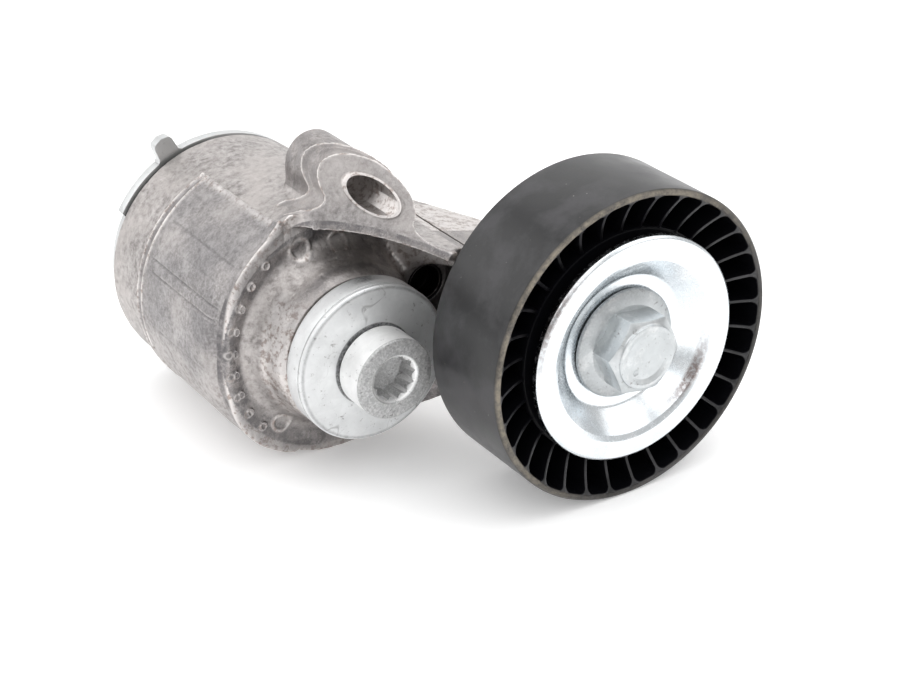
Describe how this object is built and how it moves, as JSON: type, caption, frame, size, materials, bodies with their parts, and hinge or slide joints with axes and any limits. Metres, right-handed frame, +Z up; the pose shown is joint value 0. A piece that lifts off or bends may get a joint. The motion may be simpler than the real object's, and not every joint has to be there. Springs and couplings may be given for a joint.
{
  "type": "belt tensioner with idler pulley",
  "caption": "Sprung belt tensioner: a cast drum housing with a cranked arm swings on a bolted pivot and carries a smooth ribbed-web idler pulley on a ball bearing.",
  "frame": {"origin": "middle of the footprint of the lying tensioner, on the surface it lies on", "axes": "+Y along the pivot axis from the pulley towards the mounting face, +X from the pivot axis towards the pulley axis, +Z up as it lies on its drum and pulley rim"},
  "size_m": [0.1064, 0.1312, 0.07],
  "materials": {
    "cast_aluminium": "die-cast, mottled",
    "zinc_steel": "zinc-plated, satin",
    "bright_zinc": "bright zinc-plated sheet",
    "bare_steel": "ground",
    "spring_steel": "oiled",
    "bearing_steel": "polished",
    "black_nylon": "satin moulded",
    "brown_nylon": "moulded",
    "grey_polymer": "dry bearing lining",
    "black_rubber": "moulded"
  },
  "bodies": {
    "base": {"mounting_plate": "zinc_steel", "pivot_tube": "bare_steel", "front_disc": "zinc_steel", "bolt_retainer": "black_rubber", "rear_seal": "black_rubber", "rear_spring_seat": "grey_polymer", "damper_ring": "grey_polymer"},
    "mounting_bolt": {"mounting_bolt": "zinc_steel"},
    "arm": {"arm_housing": "cast_aluminium", "front_bush": "grey_polymer", "rear_bush": "grey_polymer", "thrust_washer": "grey_polymer", "front_spring_seat": "grey_polymer", "torsion_spring": "spring_steel", "bearing_inner_ring": "bearing_steel", "front_dust_cap": "bright_zinc", "rear_dust_shield": "zinc_steel", "pulley_bolt": "zinc_steel"},
    "pulley": {"pulley_shell": "black_nylon", "bearing_outer_ring": "bearing_steel", "front_bearing_seal": "black_rubber", "rear_bearing_seal": "black_rubber"},
    "cage": {"bearing_cage": "brown_nylon", "bearing_ball_1": "bearing_steel", "bearing_ball_2": "bearing_steel", "bearing_ball_3": "bearing_steel", "bearing_ball_4": "bearing_steel", "bearing_ball_5": "bearing_steel", "bearing_ball_6": "bearing_steel", "bearing_ball_7": "bearing_steel", "bearing_ball_8": "bearing_steel", "bearing_ball_9": "bearing_steel"}
  },
  "joints": [
    {"name": "arm_swing", "type": "hinge", "parent": "base", "child": "arm", "pos_m": [-0.0238, 0, 0.0285], "axis": [0, -1, 0], "range_deg": [0, 40], "stiffness_Nm_per_rad": 20, "springref_deg": -57.3, "deforming": ["torsion_spring"]},
    {"name": "mounting_bolt_turn", "type": "hinge", "parent": "base", "child": "mounting_bolt", "pos_m": [-0.0238, 0, 0.0285], "axis": [0, -1, 0], "continuous": true},
    {"name": "pulley_spin", "type": "hinge", "parent": "arm", "child": "pulley", "pos_m": [0.0182, 0, 0.035], "axis": [0, -1, 0], "continuous": true},
    {"name": "cage_spin", "type": "hinge", "parent": "arm", "child": "cage", "pos_m": [0.0182, 0, 0.035], "axis": [0, -1, 0], "continuous": true}
  ],
  "couplings": [
    {"joint": "cage_spin", "follows": "pulley_spin", "ratio": 0.6119}
  ]
}
